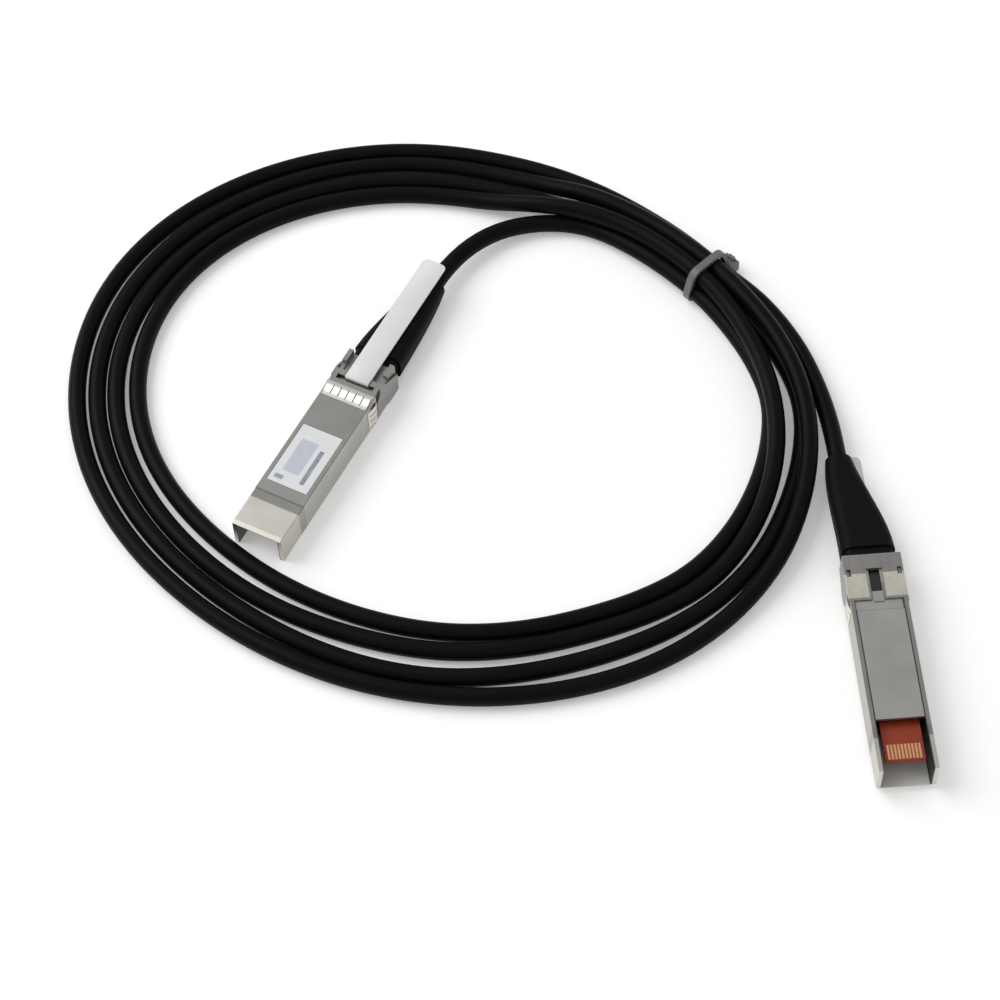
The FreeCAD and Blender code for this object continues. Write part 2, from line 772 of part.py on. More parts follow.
def tail_bay(points):
    """Room beside the turns for a tail that ends against the coil, open on the tail's right."""
    flat = [V(x, y, -PAST) for x, y, z in points]
    runs = [(after - before).normalize() for before, after in zip(flat, flat[1:])]
    beside = size("cable_diameter") / 2 + size("bay_gap")
    away = size("bay_depth")
    near = []
    far = []
    for point, before, after in zip(flat, runs[:1] + runs, runs + runs[-1:]):
        run = (before + after).normalize()
        out = V(run.y, -run.x, 0)
        near.append(point - out * beside)
        far.append(point + out * away)
    face = Part.Face(Part.makePolygon(near + far[::-1] + near[:1]))
    return face.extrude(V(0, 0, 2 * size("coil_high")))


def cable_coil():
    """Outer shape of the wound turns: an elliptical ring, stacked higher where it is tied."""
    ring = cut("coil_ring", ellipse_plate("coil_outside", "outer", "coil_high"),
               ellipse_plate("coil_hole", "inner", "2 * coil_high"))
    reach = 2 * size("coil_outer_major")
    lid = doc.addObject("Part::Box", "coil_lid")
    lid.Length = 2 * reach
    lid.Width = 2 * reach
    lid.setExpression("Height", formula("coil_high"))
    towards = math.atan2(size("tie_y") - size("coil_outer_y"), size("tie_x") - size("coil_outer_x"))
    slope = math.atan2(size("coil_high") - size("coil_low"), 2 * size("coil_outer_minor"))
    centre = V(size("coil_outer_x"), size("coil_outer_y"), (size("coil_high") + size("coil_low")) / 2)
    turn = FreeCAD.Rotation(V(0, 0, 1), math.degrees(towards)).multiply(
        FreeCAD.Rotation(V(0, 1, 0), -math.degrees(slope)))
    lid.Placement = FreeCAD.Placement(centre, turn).multiply(
        FreeCAD.Placement(V(-reach, -reach, 0), FreeCAD.Rotation()))
    sloped = cut("coil_sloped", ring, lid)
    band = block("waist_band", ("-2 * tie_half_width", "2 * tie_half_width"),
                 ("-head_width / 2 - groove_gap", "head_width / 2 + groove_gap"),
                 (f"-{PAST}", "2 * coil_high"))
    waist = placed("coil_waist", band, tie_placement())
    core = rounded_bundle("coil_core", "-groove_gap", "2 * head_width", "tie_round - groove_gap")
    groove = cut("tie_groove", waist, core)
    bays = doc.addObject("Part::Feature", "tail_bays")
    bays.Shape = Part.makeCompound([tail_bay(TAIL_A), tail_bay(TAIL_B[::-1])])
    return cut("cable_coil", cut("coil_tied", sloped, groove), bays)


def cable_tie():
    """Nylon strap round the bundle, with its head low on the outer side and the end cut short."""
    band = rounded_bundle("band_outside", "strap_sheet", "strap_width", "tie_round + strap_sheet")
    hole = rounded_bundle("band_inside", "0", "2 * head_width", "tie_round")
    head = block("tie_head", ("tie_top_half", "tie_half_width + head_depth"),
                 ("-head_width / 2", "head_width / 2"),
                 ("strap_sheet / 2", "strap_sheet / 2 + head_height"))
    stub = block("tie_stub",
                 ("tie_half_width + head_depth / 2", "tie_half_width + head_depth / 2 + strap_sheet"),
                 ("-strap_width / 2", "strap_width / 2"),
                 ("strap_sheet", "strap_sheet / 2 + head_height + stub_length"))
    block_and_end = placed("tie_head_placed", fuse("tie_head_and_stub", [head, stub]), tie_placement())
    return cut("cable_tie", fuse("tie_body", [band, block_and_end]), hole)


# ---------------------------------------------------------------- assembly

upright = FreeCAD.Placement(V(size("plug_a_x"), size("plug_a_y"), 0),
                            FreeCAD.Rotation(V(0, 0, 1), size("plug_a_angle")))
turned_over = FreeCAD.Placement(V(size("plug_b_x"), size("plug_b_y"), size("rear_height")),
                                FreeCAD.Rotation(V(0, 1, 0), 180))

for suffix, placement, lean in (("a", upright, size("lean_a")), ("b", turned_over, size("lean_b"))):
    for make in (top_shell, bottom_shell, blank_label, circuit_card, card_contacts, eeprom_chip,
                 coupling_capacitors, twinax_wires, crimp_ferrule, release_slider, return_springs,
                 pull_tab):
        seat(make(), f"{make.__name__}_{suffix}", placement)
    seat(strain_relief_boot(lean), f"strain_relief_boot_{suffix}", placement)

at_rest = FreeCAD.Placement()
for suffix, points in (("a", TAIL_A), ("b", TAIL_B)):
    seat(cable_tail("cable_tail", points), f"cable_tail_{suffix}", at_rest)
seat(cable_coil(), "cable_coil", at_rest)
seat(cable_tie(), "cable_tie", at_rest)

doc.recompute()

failed = [item.Label for item in doc.Objects
          if any(word in item.State for word in ("Invalid", "Error"))]
assert not failed, f"objects that failed: {failed}"
for piece in nodes:
    sound = not piece.Shape.isNull() and piece.Shape.isValid() and piece.Shape.Solids
    assert sound, f"bad shape: {piece.Label}"

os.makedirs("parts", exist_ok=True)
for piece in nodes:
    piece.Shape.exportStep(f"parts/{piece.Label}.step")
    print(piece.Label, len(piece.Shape.Solids), round(piece.Shape.Volume, 2))
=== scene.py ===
import bpy
import math
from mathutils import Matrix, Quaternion, Vector


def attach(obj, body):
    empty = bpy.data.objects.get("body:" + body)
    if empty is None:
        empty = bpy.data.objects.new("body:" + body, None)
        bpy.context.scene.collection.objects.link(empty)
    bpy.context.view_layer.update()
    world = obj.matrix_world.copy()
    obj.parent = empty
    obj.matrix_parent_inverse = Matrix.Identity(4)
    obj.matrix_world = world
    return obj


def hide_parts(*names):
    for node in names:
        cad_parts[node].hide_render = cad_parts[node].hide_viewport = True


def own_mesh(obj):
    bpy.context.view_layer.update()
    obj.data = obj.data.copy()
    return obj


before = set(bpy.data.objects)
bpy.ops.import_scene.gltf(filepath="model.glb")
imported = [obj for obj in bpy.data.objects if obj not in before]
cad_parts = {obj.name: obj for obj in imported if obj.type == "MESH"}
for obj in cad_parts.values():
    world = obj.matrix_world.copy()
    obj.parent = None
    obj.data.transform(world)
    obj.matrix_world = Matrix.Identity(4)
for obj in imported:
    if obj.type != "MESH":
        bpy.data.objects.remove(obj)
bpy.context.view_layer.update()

# ---------------------------------------------------------------- camera
# A long lens looks down on the coil from the front, turned a little to the left and tilted a little.

FLOOR_AIM = Vector((-0.0141, 0.00885, 0.0))
CAMERA_DISTANCE = 0.6382
CAMERA_ELEVATION = math.radians(55.45)
CAMERA_TURN = math.radians(-1.8)
CAMERA_ROLL = math.radians(-2.6)
SENSOR_WIDTH = 36.0
LENS = 93.9

back = Vector((math.sin(CAMERA_TURN) * math.cos(CAMERA_ELEVATION),
               -math.cos(CAMERA_TURN) * math.cos(CAMERA_ELEVATION),
               math.sin(CAMERA_ELEVATION)))
camera_data = bpy.data.cameras.new("camera")
camera_data.sensor_width = SENSOR_WIDTH
camera_data.lens = LENS
camera = bpy.data.objects.new("camera", camera_data)
bpy.context.collection.objects.link(camera)
camera.location = FLOOR_AIM + back * CAMERA_DISTANCE
camera.rotation_mode = "QUATERNION"
camera.rotation_quaternion = (-back).to_track_quat("-Z", "Y") @ Quaternion((0, 0, 1), CAMERA_ROLL)
bpy.context.scene.camera = camera


# ---------------------------------------------------------------- cable
# One round twinax cable: a black plastic jacket extruded over two foil-shielded pairs. From boot A it
# joins the inside of the coil, runs clockwise four times round with its turns side by side or stacked,
# and leaves outside to boot B. Places and heights on its route are in mm.

CABLE_DIAMETER = 0.0045
TURNS = 4
TURN_POINTS = 36
TIE_ANGLE = 25.7
COIL_CENTRE = (-26.4, 37.25)
COIL_MAJOR = 88.2
COIL_MINOR = 74.05
COIL_TURN = -30.8
# The turns lie on the tie's strap, and come down from it over this angle.
STRAP_SHEET = 1.05
STRAP_RISE = 22.0
CABLE_RADIUS_MM = CABLE_DIAMETER * 1000 / 2
# Centres of turns that lie on each other are this far apart.
STACK = 4.65

TAIL_A = [
    (-26.64, 73.94, 4.4),
    (-21.7, 82.17, 4.4),
    (-10.2, 91.6, 3.6),
    (3.0, 94.6, 2.6),
    (15.8, 91.9, 2.4),
    (28.0, 81.5, 3.4),
    (37.4, 71.0, 3.4),
]
TAIL_B = [
    (49.6, 70.8, 3.4),
    (56.9, 62.0, 3.4),
    (64.2, 47.6, 2.7),
    (67.6, 32.4, 3.4),
    (68.8, 18.5, 4.7),
    (68.8, 9.85, 4.7),
]

# Each row is one turn: how far it lies outside the coil's middle line, in mm, at these angles.
STATIONS = [25.7, -4, -24, -38, -65, -100, -140, -185, -225, -265, -290, -300, -308, -321, -334.3]
LANES = [
    [-4.6, -2.7, -6.6, -7.8, -11.0, -9.6, -9.4, -8.0, -7.6, -7.3, -8.0, -6.6, -3.6, -2.6, -2.3],
    [-2.3, -2.7, -3.0, -2.9, -6.2, -4.2, -3.0, -2.4, -2.9, -2.6, -3.3, -3.0, -0.4, -0.6, 0.0],
    [0.0, 5.0, 2.1, 1.8, 0.5, 3.0, 1.8, 2.4, 2.3, 3.4, 2.0, 1.6, 2.2, 2.1, 2.3],
    [2.3, 5.0, 5.5, 6.6, 7.5, 7.6, 6.9, 7.5, 7.9, 8.2, 7.0, 6.6, 6.0, 5.0, 4.6],
]
# The two tails where they run beside the coil: angle and distance outside its middle line, or height.
TAIL_A_LANE = [(-283, -23.0), (-287, -18.0), (-297, -9.9), (-308, -5.6), (-321, -5.6), (-334.3, -4.7)]
TAIL_A_RISE = [(-283, 0.0), (-297, 0.4), (-308, 0.5), (-314, 0.75), (-321, 0.7), (-334.3, 0.1)]
TAIL_B_LANE = [(25.7, 4.7), (16.5, 7.1), (6.5, 9.0), (-3, 9.7), (-11, 10.8), (-25, 16.0)]
# Between these angles no turn lies on another. A turn starts to rise this many degrees early.
FAN_OUT = -60
FAN_IN = -270
APPROACH = 14


def ease(part):
    return part * part * (3 - 2 * part)


def between(rows, angle):
    """The value at an angle, eased between the rows on each side of it."""
    for (start, first), (end, last) in zip(rows, rows[1:]):
        if start >= angle >= end:
            return first + (last - first) * ease((start - angle) / (start - end))
    return rows[0][1] if angle > rows[0][0] else rows[-1][1]


def lane(turn, angle):
    return between(list(zip(STATIONS, LANES[turn])), angle)


def lift(turn, angle):
    """How far a turn is held up by the turns and the tail below it."""
    upper = (1, 3) if angle > FAN_OUT else (0, 2)
    if turn not in upper or FAN_IN < angle < FAN_OUT:
        return 0
    below = [(lane(other, angle), 0) for other in range(TURNS) if other not in upper]
    if angle > FAN_OUT:
        below.append((between(TAIL_B_LANE, angle), 0))
    else:
        below.append((between(TAIL_A_LANE, angle), between(TAIL_A_RISE, angle)))
    place = lane(turn, angle)
    return max((math.sqrt(STACK ** 2 - (place - other) ** 2) + rise
                for other, rise in below if abs(place - other) < STACK), default=0)


def height(turn, angle):
    """Centre height: on the floor or the strap, and eased up to where others lie below."""
    from_tie = min(abs(angle - TIE_ANGLE), abs(angle - TIE_ANGLE + 360))
    rise = STRAP_SHEET * (0.5 + 0.5 * math.cos(math.pi * min(from_tie / STRAP_RISE, 1)))
    held = 0
    for step in range(-APPROACH, APPROACH + 1):
        near = min(TIE_ANGLE, max(TIE_ANGLE - 360, angle + step))
        held = max(held, lift(turn, near) * (1 - (step / APPROACH) ** 2) ** 2)
    return CABLE_RADIUS_MM + rise + held


def coil_point(turn, angle):
    from_major = math.radians(angle - COIL_TURN)
    middle = 1 / math.hypot(math.cos(from_major) / COIL_MAJOR, math.sin(from_major) / COIL_MINOR)
    out = middle + lane(turn, angle)
    return (COIL_CENTRE[0] + out * math.cos(math.radians(angle)),
            COIL_CENTRE[1] + out * math.sin(math.radians(angle)),
            height(turn, angle))


route = list(TAIL_A[:-1])
for turn in range(TURNS):
    for step in range(TURN_POINTS):
        route.append(coil_point(turn, TIE_ANGLE - 360 * step / TURN_POINTS))
route += [coil_point(TURNS - 1, TIE_ANGLE - 360)]
route += TAIL_B[1:]

curve = bpy.data.curves.new("cable", "CURVE")
curve.dimensions = "3D"
# Each point's radius sets the cord's thickness.
curve.bevel_depth = 1.0
curve.bevel_resolution = 7
curve.resolution_u = 5
curve.use_fill_caps = True
spline = curve.splines.new("NURBS")
spline.points.add(len(route) - 1)
for point, place in zip(spline.points, route):
    point.co = (place[0] / 1000, place[1] / 1000, place[2] / 1000, 1)
    point.radius = CABLE_DIAMETER / 2
spline.order_u = 3
spline.use_endpoint_u = True
cable = bpy.data.objects.new("cable", curve)
bpy.context.collection.objects.link(cable)
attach(cable, "root")
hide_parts("cable_coil", "cable_tail_a", "cable_tail_b")


class Value:
    """A shader socket that Python's operators work on."""

    def __init__(self, tree, socket):
        self.tree = tree
        self.socket = socket

    def maths(self, operation, *others):
        node = self.tree.nodes.new("ShaderNodeMath")
        node.operation = operation
        for number, other in enumerate((self,) + others):
            if isinstance(other, Value):
                self.tree.links.new(other.socket, node.inputs[number])
            else:
                node.inputs[number].default_value = other
        return Value(self.tree, node.outputs[0])

    def __add__(self, other):
        return self.maths("ADD", other)

    __radd__ = __add__

    def __sub__(self, other):
        return self.maths("SUBTRACT", other)

    def __rsub__(self, other):
        return (self * -1) + other

    def __mul__(self, other):
        return self.maths("MULTIPLY", other)

    __rmul__ = __mul__

    def __abs__(self):
        return self.maths("ABSOLUTE")

    def above(self, other):
        """1 past a place and 0 before it."""
        return self.maths("GREATER_THAN", other)

    def clamped(self):
        return self.maths("MAXIMUM", 0.0).maths("MINIMUM", 1.0)

    def after(self, place, fade):
        """0 up to a place, and 1 a short fade past it."""
        return ((self - place) * (1 / fade)).clamped()

    def before(self, place, fade):
        """1 until a short fade before a place, and 0 past it."""
        return ((place - self) * (1 / fade)).clamped()


class Finish:
    """A material under construction, with its Principled shader."""

    def __init__(self, name, **sockets):
        self.material = bpy.data.materials.new(name)
        self.material.use_nodes = True
        self.tree = self.material.node_tree
        self.shader = self.tree.nodes["Principled BSDF"]
        self.set(**sockets)

    def set(self, **sockets):
        for name, value in sockets.items():
            socket = self.shader.inputs[name.replace("_", " ")]
            if isinstance(value, Value):
                self.tree.links.new(value.socket, socket)
            else:
                socket.default_value = value

    def node(self, kind, settings=None, output=0, **sockets):
        """Any other node: its kind, its settings, and the values or links of its sockets."""
        node = self.tree.nodes.new(f"ShaderNode{kind}")
        for name, value in (settings or {}).items():
            setattr(node, name, value)
        for name, value in sockets.items():
            key = int(name[1:]) if name[1:].isdigit() else name.replace("_", " ")
            socket = node.inputs[key]
            if isinstance(value, Value):
                self.tree.links.new(value.socket, socket)
            else:
                socket.default_value = value
        return Value(self.tree, node.outputs[output])

    def place(self):
        return self.node("TexCoord", output="Object")

    def noise(self, scale, detail=3.0, vector=None):
        return self.node("TexNoise", output="Fac", Vector=vector or self.place(), Scale=scale,
                         Detail=detail)

    def mix(self, amount, first, second):
        """A colour between two colours."""
        return self.node("Mix", {"data_type": "RGBA"}, output=2, i0=amount, i6=first, i7=second)

    def bump(self, height, strength, distance):
        return self.node("Bump", Height=height, Strength=strength, Distance=distance)

    def on(self, *objects):
        for item in objects:
            item.data.materials.clear()
            item.data.materials.append(self.material)


def node(name):
    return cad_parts[name]


jacket = Finish("cable_jacket", Specular_IOR_Level=0.07)
grain = jacket.noise(900.0, 4.0)
patches = jacket.noise(45.0, 2.0)
jacket.set(Base_Color=jacket.mix(patches, (0.002, 0.002, 0.0023, 1), (0.005, 0.005, 0.0055, 1)),
           Roughness=0.34 + 0.16 * patches,
           Normal=jacket.bump(grain, 0.10, 0.0002))
jacket.on(cable)


# ---------------------------------------------------------------- cable tie
# A small nylon tie, pulled tight round the five strands where both ends join the coil. Its head lies
# low on the outer side and its free end is cut short.

nylon = Finish("tie_nylon")
cloud = nylon.noise(160.0)
nylon.set(Base_Color=nylon.mix(cloud, (0.12, 0.12, 0.117, 1), (0.17, 0.17, 0.163, 1)),
          Roughness=0.38 + 0.14 * cloud)
nylon.on(node("cable_tie"))


# ---------------------------------------------------------------- housings
# Each connector's two shells are cast zinc with a satin nickel finish, pressed together. The nose is a
# little smoother and has a warm painted reflection, with a band of painted shade behind it; the flanks
# are painted lighter as painted light; the inner walls and the bottom plate's hollows are painted dark
# as painted shade, and the inner roof at the nose is painted light and matte.

PLUG_PLACES = {
    "a": ((-0.0731, -0.00105, 0.0), (0, 0, math.radians(-31))),
    "b": ((0.0719, -0.07835, 0.0091), (0, math.pi, 0)),
}
ENDS = tuple(PLUG_PLACES)
NOSE_END = 0.0088
BAND_END = 0.0116
WINDOW_END = 0.0134
FLANK = 0.0067
INSIDE = 0.00565
ROOF_HEIGHT = 0.0075
PLATE_FACE = 0.0008
FADE = 0.0004
# A face belongs to a finish when it lies this close to its place.
NEAR = 0.0002


def in_plug(finish, end):
    """Place on a connector: across, along from the tip, up from the bottom plate."""
    where, turn = PLUG_PLACES[end]
    local = finish.node("Mapping", {"vector_type": "TEXTURE"}, i0=finish.place(),
                        Location=where, Rotation=turn)
    return [finish.node("SeparateXYZ", output=axis, i0=local) for axis in range(3)]


for end in ENDS:
    plating = Finish(f"housing_metal_{end}")
    across, along, up = in_plug(plating, end)
    grain = plating.noise(2600.0, 5.0)
    wear = plating.noise(120.0, 4.0)
    satin = plating.mix(wear, (0.27, 0.27, 0.26, 1), (0.34, 0.335, 0.32, 1))
    # Painted light: the flanks are painted lighter where light falls on them.
    flank_painted_light = plating.mix(wear, (0.44, 0.43, 0.40, 1), (0.54, 0.53, 0.49, 1))
    # Painted reflection: the nose is painted lighter and warmer where it catches the light.
    nose_painted_reflection = plating.mix(wear, (0.53, 0.51, 0.46, 1), (0.66, 0.64, 0.58, 1))
    nose = along.before(NOSE_END, FADE)
    # Painted shade: a darker band is painted just behind the nose.
    painted_shade_band = along.before(BAND_END, FADE)
    inside = 1 - abs(across).above(INSIDE - NEAR)
    # Painted shade: the inner walls of the hollow are painted dark.
    wall_painted_shade = abs(across).above(INSIDE - NEAR) * (1 - abs(across).above(INSIDE + NEAR)) * \
        (1 - up.above(ROOF_HEIGHT))
    # Painted light: the inner roof over the open nose is painted light and matte.
    painted_light_roof = inside * up.above(ROOF_HEIGHT - NEAR) * (1 - up.above(ROOF_HEIGHT + NEAR)) * \
        (1 - along.above(WINDOW_END))
    outside = plating.mix(abs(across).above(FLANK), satin, flank_painted_light)
    outside = plating.mix(0.25 * painted_shade_band * (1 - nose), outside, (0.12, 0.12, 0.11, 1))
    outside = plating.mix(nose, outside, nose_painted_reflection)
    cast = plating.mix(painted_light_roof, outside, (0.62, 0.62, 0.59, 1))
    plating.set(Base_Color=plating.mix(wall_painted_shade, cast, (0.10, 0.10, 0.10, 1)),
                Metallic=1 - painted_light_roof,
                Roughness=0.34 + 0.14 * wear - 0.06 * nose,
                Normal=plating.bump(grain, 0.10, 0.0001))
    plating.on(node(f"top_shell_{end}"))

    base = Finish(f"bottom_metal_{end}", Metallic=1.0)
    _, _, up = in_plug(base, end)
    grain = base.noise(2600.0, 5.0)
    wear = base.noise(120.0, 4.0)
    satin = base.mix(wear, (0.39, 0.385, 0.37, 1), (0.50, 0.495, 0.47, 1))
    # Painted shade: faces deeper than the plate's outer face are painted dark.
    base.set(Base_Color=base.mix(up.above(PLATE_FACE), satin, (0.06, 0.06, 0.06, 1)),
             Roughness=0.34 + 0.14 * wear,
             Normal=base.bump(grain, 0.10, 0.0001))
    base.on(node(f"bottom_shell_{end}"))


# ---------------------------------------------------------------- spring collars
# A bright stamped collar sits in front of each rear block, over its ramp. Its bowed fingers press on the
# cage and carry the shield current. It is one strip, slotted, bowed and wrapped over the top and sides.

COLLAR_START = 0.0429
COLLAR_SHEET = 0.00012
FINGER_PITCH = 0.0021
FINGER_SLOT = 0.0003
# Each row is a distance behind the collar's front edge and its height over the housing.
TOP_ROWS = [(0.0, 0.00002), (0.0008, 0.00002), (0.0015, 0.00013), (0.0021, 0.00027), (0.0026, 0.00039),
            (0.0030, 0.00045), (0.0033, 0.00046), (0.0036, 0.00045)]
FLANK_ROWS = [(0.0, 0.00002), (0.0009, 0.00002), (0.0017, 0.00022), (0.0025, 0.00038), (0.0032, 0.00042),
              (0.0039, 0.0003), (0.0043, 0.00008)]
COLLAR_SIDES = [
    # fingers, rows, middle across, middle up, turn round the connector
    (6, TOP_ROWS, 0.0, 0.0085, 0.0),
    (3, FLANK_ROWS, 0.0068, 0.0043, math.pi / 2),
    (3, FLANK_ROWS, -0.0068, 0.0043, -math.pi / 2),
]
COLLAR_SMOOTH = math.radians(35)
# Two places this close are the same.
SAME = 1e-6


def only(piece):
    """Selects one piece and makes it active."""
    bpy.ops.object.select_all(action="DESELECT")
    piece.select_set(True)
    bpy.context.view_layer.objects.active = piece


def select_edges(piece, wanted):
    """Selects, in edit mode, only the edges whose two ends the rule accepts."""
    mesh = piece.data
    bpy.ops.object.mode_set(mode="OBJECT")
    for part in (mesh.vertices, mesh.edges, mesh.polygons):
        for item in part:
            item.select = False
    for edge in mesh.edges:
        first, second = (mesh.vertices[index].co for index in edge.vertices)
        if wanted(first, second):
            edge.select = True
            for index in edge.vertices:
                mesh.vertices[index].select = True
    bpy.ops.object.mode_set(mode="EDIT")


def settle(piece):
    """Puts the piece's place, turn and size in its mesh."""
    only(piece)
    bpy.ops.object.transform_apply(location=True, rotation=True, scale=True)


def draw_out(step):
    """Extrudes the selected edges by a step."""
    bpy.ops.mesh.extrude_region_move(TRANSFORM_OT_translate={"value": step})


def apply_all(piece):
    """Applies the piece's modifiers in order."""
    only(piece)
    for modifier in list(piece.modifiers):
        bpy.ops.object.modifier_apply(modifier=modifier.name)


def lay_in_plug(piece, end):
    """Puts a piece modelled on the upright connector in its place."""
    piece.location, piece.rotation_euler = PLUG_PLACES[end]
    settle(piece)


def join(pieces):
    """Makes the pieces one object and returns it."""
    only(pieces[0])
    for piece in pieces[1:]:
        piece.select_set(True)
    bpy.ops.object.join()
    return bpy.context.object


def collar_side(count, rows, across, up, turn):
    """One side: a band drawn out sideways, and a row of bowed fingers drawn out of its rear edge."""
    (front, low), (rear, _) = rows[:2]
    widths = [FINGER_SLOT / 2] + [FINGER_PITCH - FINGER_SLOT, FINGER_SLOT] * count
    widths[-1] = FINGER_SLOT / 2
    edge = widths[0] - count * FINGER_PITCH / 2
    bpy.ops.object.select_all(action="DESELECT")
    bpy.ops.mesh.primitive_plane_add(
        size=1.0, location=(edge - widths[0] / 2, COLLAR_START + (front + rear) / 2, low))
    side = bpy.context.object
    side.scale = (widths[0], rear - front, 1)
    settle(side)
    bpy.ops.object.mode_set(mode="EDIT")
    bpy.ops.mesh.select_mode(type="EDGE")
    for width in widths[1:]:
        select_edges(side, lambda first, second: max(abs(first.x - edge),
                                                     abs(second.x - edge)) < SAME)
        draw_out((width, 0, 0))
        edge += width
    for (before, low), (behind, high) in zip(rows[1:], rows[2:]):
        reach = COLLAR_START + before
        select_edges(side, lambda first, second: max(abs(first.y - reach),
                                                     abs(second.y - reach)) < SAME
                     and abs(first.x - second.x) > 2 * FINGER_SLOT)
        draw_out((0, behind - before, high - low))
    bpy.ops.object.mode_set(mode="OBJECT")
    side.rotation_euler = (0, turn, 0)
    side.location = (across, 0, up)
    settle(side)
    return side


for end in ENDS:
    collar = join([collar_side(*row) for row in COLLAR_SIDES])
    collar.name = f"spring_collar_{end}"
    sheet = collar.modifiers.new("sheet", "SOLIDIFY")
    sheet.thickness = COLLAR_SHEET
    sheet.offset = 1.0
    apply_all(collar)
    bpy.ops.object.shade_smooth_by_angle(angle=COLLAR_SMOOTH)
    lay_in_plug(collar, end)
    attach(collar, "root")
    spring = Finish(f"spring_collar_{end}", Metallic=1.0)
    haze = spring.noise(900.0)
    spring.set(Base_Color=spring.mix(haze, (0.74, 0.71, 0.63, 1), (0.90, 0.87, 0.79, 1)),
               Roughness=0.24 + 0.14 * haze)
    spring.on(collar)


# ---------------------------------------------------------------- release sliders
# A stamped spring-steel slider wraps the rear of each housing. Its surface keeps the rolled sheet's
# fine lines, and its two front prongs are a little smoother and carry a painted highlight.

PRONG_START = 0.0460
PRONG_END = 0.0528
PRONG_INNER = 0.0019
PRONG_TOP = 0.0007
PRONG_FADE = 0.00025
PRONG_SIDE_FADE = 0.0001667
ROLLING_STRETCH = (1.0, 0.08, 1.0)

for end in ENDS:
    stamped = Finish(f"slider_steel_{end}", Metallic=1.0)
    across, along, up = in_plug(stamped, end)
    rolling = stamped.node("Mapping", i0=stamped.place(), Scale=ROLLING_STRETCH)
    lines = stamped.noise(1500.0, 3.0, rolling)
    wear = stamped.noise(500.0, 3.0)
    # Painted highlight: the two front prongs are painted light where the light catches them.
    prong_painted_highlight = along.after(PRONG_START, PRONG_FADE) * along.before(PRONG_END, PRONG_FADE) * \
        abs(across).after(PRONG_INNER, PRONG_SIDE_FADE) * (1 - up.above(PRONG_TOP))
    rolled = stamped.mix(lines, (0.28, 0.27, 0.26, 1), (0.38, 0.37, 0.355, 1))
    prong_highlight_colour = stamped.mix(wear, (0.62, 0.59, 0.50, 1), (0.86, 0.83, 0.73, 1))
    stamped.set(Base_Color=stamped.mix(prong_painted_highlight, rolled, prong_highlight_colour),
                Roughness=0.32 + 0.14 * lines - 0.08 * prong_painted_highlight,
                Normal=stamped.bump(lines, 0.10, 0.0001))
    stamped.on(node(f"release_slider_{end}"))


# ---------------------------------------------------------------- return springs
# Two small compression springs of bright drawn wire lie in side pockets at the rear of each housing.
# Each is wound on a mandrel, rests on its pocket's rear wall and pushes the slider's lug towards the
# nose. On the real connector it shortens as the slider is pulled; here it keeps one length.

WIRE = 0.00026
WIRE_SIDES = 8
SPRING_ACROSS = 0.0015
SPRING_LENGTH = 0.00598
SPRING_START = 0.05087
SPRING_SIDE = 0.0055
SPRING_HEIGHT = 0.0060
COILS = 5
COIL_STEPS = 20
SPRING_SMOOTH = math.radians(50)


def return_spring(side):
    """A round wire carried round and along by the screw, with its two ends closed."""
    bpy.ops.object.select_all(action="DESELECT")
    bpy.ops.mesh.primitive_circle_add(vertices=WIRE_SIDES, radius=WIRE / 2,
                                      location=((SPRING_ACROSS - WIRE) / 2, 0, 0))
    spring = bpy.context.object
    settle(spring)
    winding = spring.modifiers.new("winding", "SCREW")
    winding.axis = "Y"
    winding.angle = 2 * math.pi
    winding.screw_offset = (SPRING_LENGTH - WIRE) / COILS
    winding.iterations = COILS
    winding.steps = COIL_STEPS
    winding.render_steps = COIL_STEPS
    apply_all(spring)
    bpy.ops.object.mode_set(mode="EDIT")
    bpy.ops.mesh.select_all(action="SELECT")
    bpy.ops.mesh.remove_doubles(threshold=SAME)
    bpy.ops.mesh.fill_holes(sides=0)
    bpy.ops.mesh.select_all(action="SELECT")
    bpy.ops.mesh.normals_make_consistent(inside=False)
    bpy.ops.object.mode_set(mode="OBJECT")
    bpy.ops.object.shade_smooth_by_angle(angle=SPRING_SMOOTH)
    spring.location = (side * SPRING_SIDE, SPRING_START + WIRE / 2, SPRING_HEIGHT)
    settle(spring)
    return spring


drawn = Finish("spring_steel", Metallic=1.0)
polish = drawn.noise(1800.0)
drawn.set(Base_Color=drawn.mix(polish, (0.62, 0.61, 0.60, 1), (0.74, 0.73, 0.71, 1)),
          Roughness=0.22 + 0.12 * polish)
for end in ENDS:
    pair = join([return_spring(-1), return_spring(1)])
    pair.name = f"coil_springs_{end}"
    lay_in_plug(pair, end)
    tip, turn = PLUG_PLACES[end]
    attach(pair, "root")
    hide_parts(f"return_springs_{end}")
    drawn.on(pair)
    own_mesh(pair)


# ---------------------------------------------------------------- pull tabs
# A milky plastic strap for pulling the slider back. It is die-cut with rounded corners, folded round the
# slider's bridge, and its short end is welded to its underside. Light passes through the thin sheet.

TAB_WIDTH = 0.0065
TAB_SHEET = 0.0003
TAB_CORNER = 0.0014
TAB_CORNER_STEPS = 8
TAB_EDGE = 0.00006
TAB_EDGE_STEPS = 2
TAB_EDGE_ANGLE = math.radians(60)
TAB_SMOOTH = math.radians(50)
# The strap's middle line, from the short end round the bridge to the far end: along, and up.
TAB_LINE = [(0.05425, 0.00858), (0.05270, 0.00858), (0.05210, 0.00780), (0.05015, 0.00780),
            (0.04990, 0.00805), (0.04990, 0.00865), (0.05015, 0.00890), (0.05600, 0.00890),
            (0.09220, 0.00890)]


def select_crossing(piece, place):
    """Selects the edge that crosses the strap at a place on its middle line."""
    here = Vector(place)
    select_edges(piece, lambda first, second: max((first.yz - here).length,
                                                  (second.yz - here).length) < SAME)


